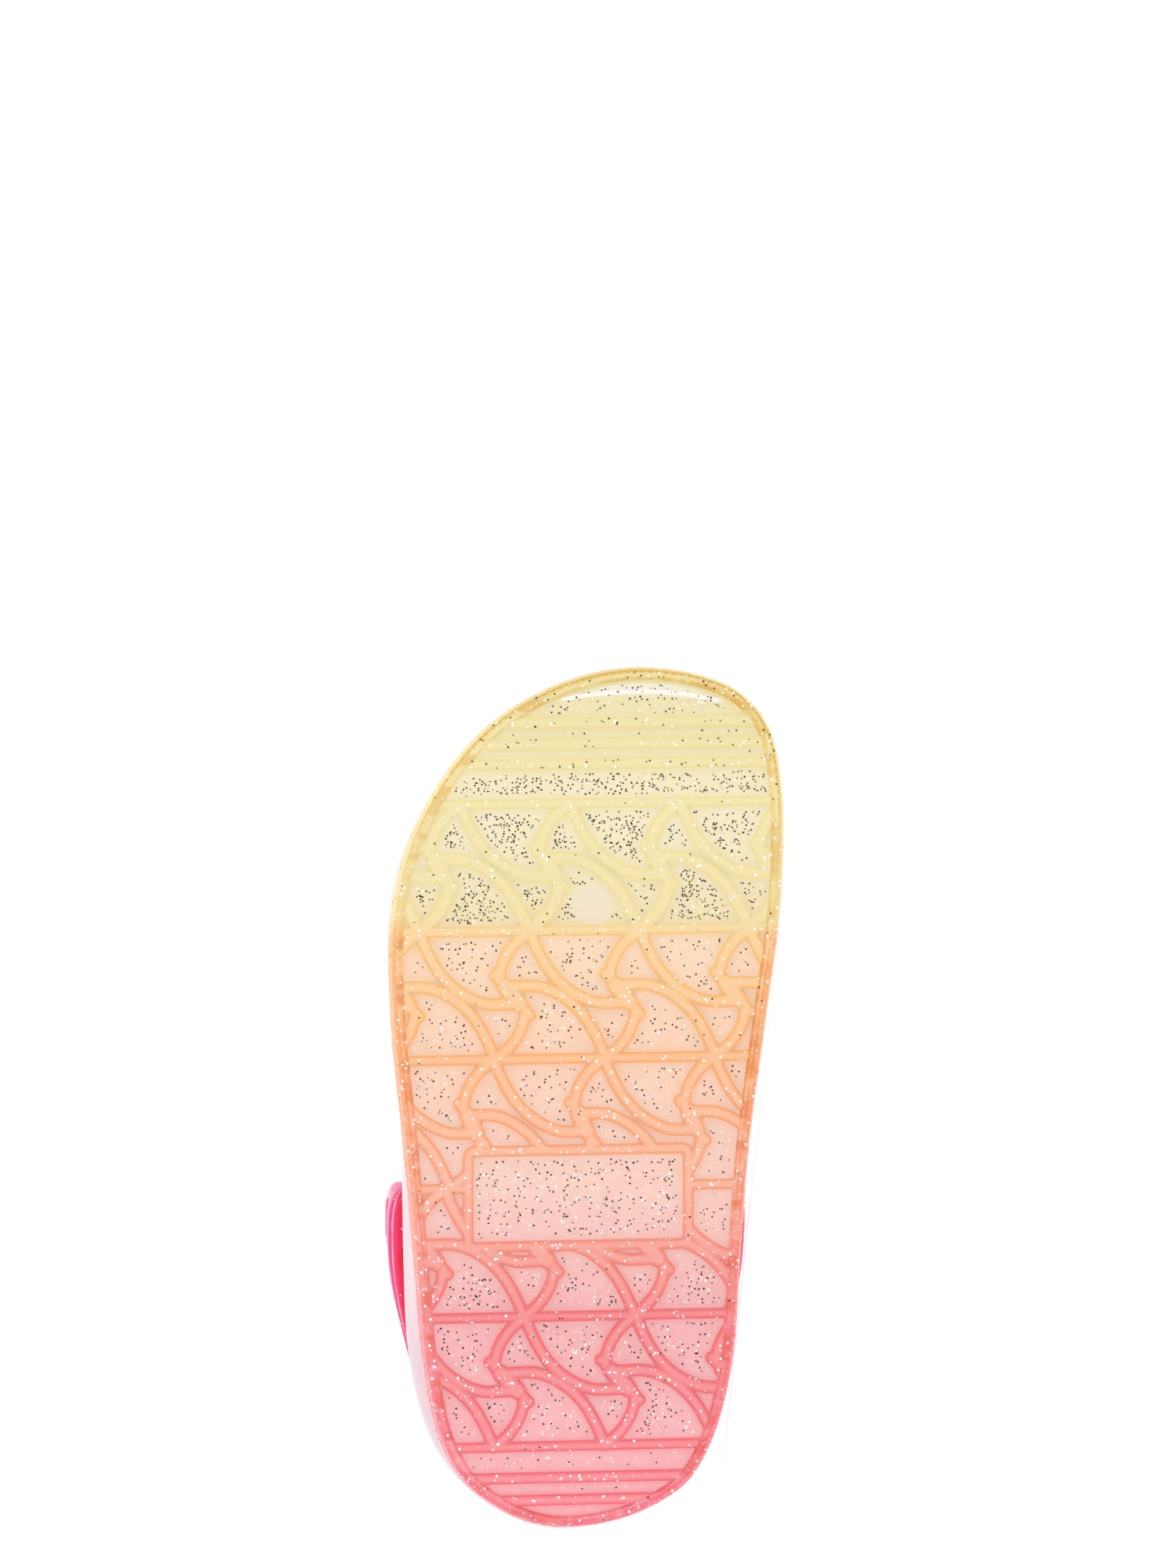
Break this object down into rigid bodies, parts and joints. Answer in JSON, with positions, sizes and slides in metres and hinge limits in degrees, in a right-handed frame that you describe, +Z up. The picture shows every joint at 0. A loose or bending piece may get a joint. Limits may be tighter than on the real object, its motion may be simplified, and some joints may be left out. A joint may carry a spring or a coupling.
{
  "type": "jelly clog",
  "caption": "Small child's moulded jelly clog for the right foot: cup sole with a finned tread, vented shell upper and a heel strap on rivets, lying on its inner side.",
  "frame": {"origin": "centre of the bounding box's lowest face, on the floor that the shoe lies on", "axes": "+X from heel to toe, +Y from the tread towards the collar, +Z up, towards the shoe's outer side"},
  "size_m": [0.1692, 0.0632, 0.0772],
  "materials": {
    "outsole": "soft translucent jelly with glitter, yellow at the toe to pink at the heel",
    "insole": "soft matt footbed",
    "upper": "milky translucent jelly, glossy",
    "heel_strap": "translucent hot pink jelly with glitter, glossy",
    "rivet": "hot pink, glossy"
  },
  "bodies": {
    "root": {"outsole": "outsole", "insole": "insole", "upper": "upper", "heel_strap": "heel_strap", "rivet_outer_side": "rivet", "rivet_inner_side": "rivet"}
  },
  "joints": []
}
